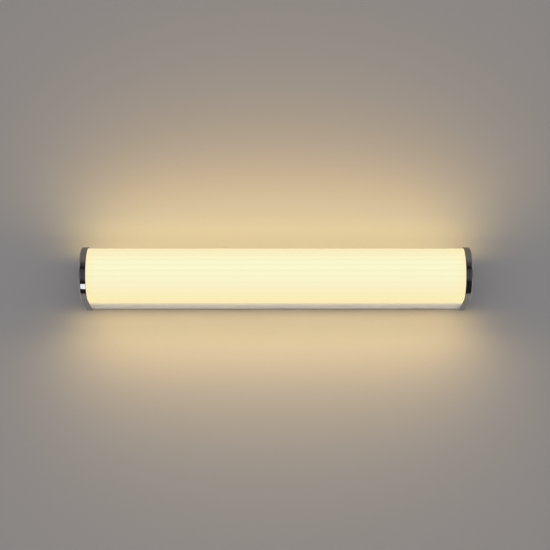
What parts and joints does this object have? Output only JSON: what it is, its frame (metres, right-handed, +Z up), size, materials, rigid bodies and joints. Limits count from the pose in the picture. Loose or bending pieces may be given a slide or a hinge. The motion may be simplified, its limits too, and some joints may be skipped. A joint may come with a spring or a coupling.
{
  "type": "bathroom mirror light",
  "caption": "Wall light for above a mirror: a ribbed, lit D-section diffuser on a white base tray between chrome end caps, which pulls off its wall bracket.",
  "frame": {"origin": "centre of the face that lies on the wall", "axes": "+X along the light, to the right as seen from the room; +Y into the wall; +Z up"},
  "size_m": [0.4, 0.0682, 0.0578],
  "materials": {
    "opal_acrylic": "opal, satin gloss, lit warm white",
    "white_paint": "fine powder coat, semi-matt",
    "chrome_plate": "polished",
    "zinc_sheet": "zinc plated, dull",
    "zinc_screw": "zinc plated",
    "black_foam": "closed-cell foam, matt",
    "black_rubber": "matt",
    "grey_silicone": "matt",
    "board_white": "white solder mask on metal",
    "chip_phosphor": "silicone dome over phosphor",
    "white_nylon": "moulded, matt",
    "driver_plastic": "moulded, fine texture",
    "terminal_brass": "plain",
    "red_insulation": "soft plastic",
    "black_insulation": "soft plastic",
    "brown_insulation": "soft plastic",
    "blue_insulation": "soft plastic"
  },
  "bodies": {
    "wall_mount": {"wall_bracket": "zinc_sheet", "wall_gasket": "black_foam", "cable_grommet": "black_rubber", "clinch_nuts": "zinc_screw", "locking_screws": "zinc_screw"},
    "light": {"diffuser": "opal_acrylic", "base_tray": "white_paint", "end_cap_left": "chrome_plate", "end_cap_right": "chrome_plate", "cap_gasket_left": "grey_silicone", "cap_gasket_right": "grey_silicone", "cap_screws": "zinc_screw", "led_board": "board_white", "led_chips": "chip_phosphor", "board_screws": "zinc_screw", "led_connector": "white_nylon", "lead_grommet": "black_rubber", "led_lead_positive": "red_insulation", "led_lead_negative": "black_insulation", "driver_case": "driver_plastic", "driver_cover": "driver_plastic", "driver_screws": "zinc_screw", "live_lead": "brown_insulation", "neutral_lead": "blue_insulation", "terminal_block": "white_nylon", "terminal_sleeves": "terminal_brass", "terminal_screws": "zinc_screw", "terminal_fixing_screw": "zinc_screw"}
  },
  "joints": [
    {"name": "light_pull_off", "type": "slide", "parent": "wall_mount", "child": "light", "axis": [0, -1, 0], "range_m": [0, 0.08]}
  ]
}
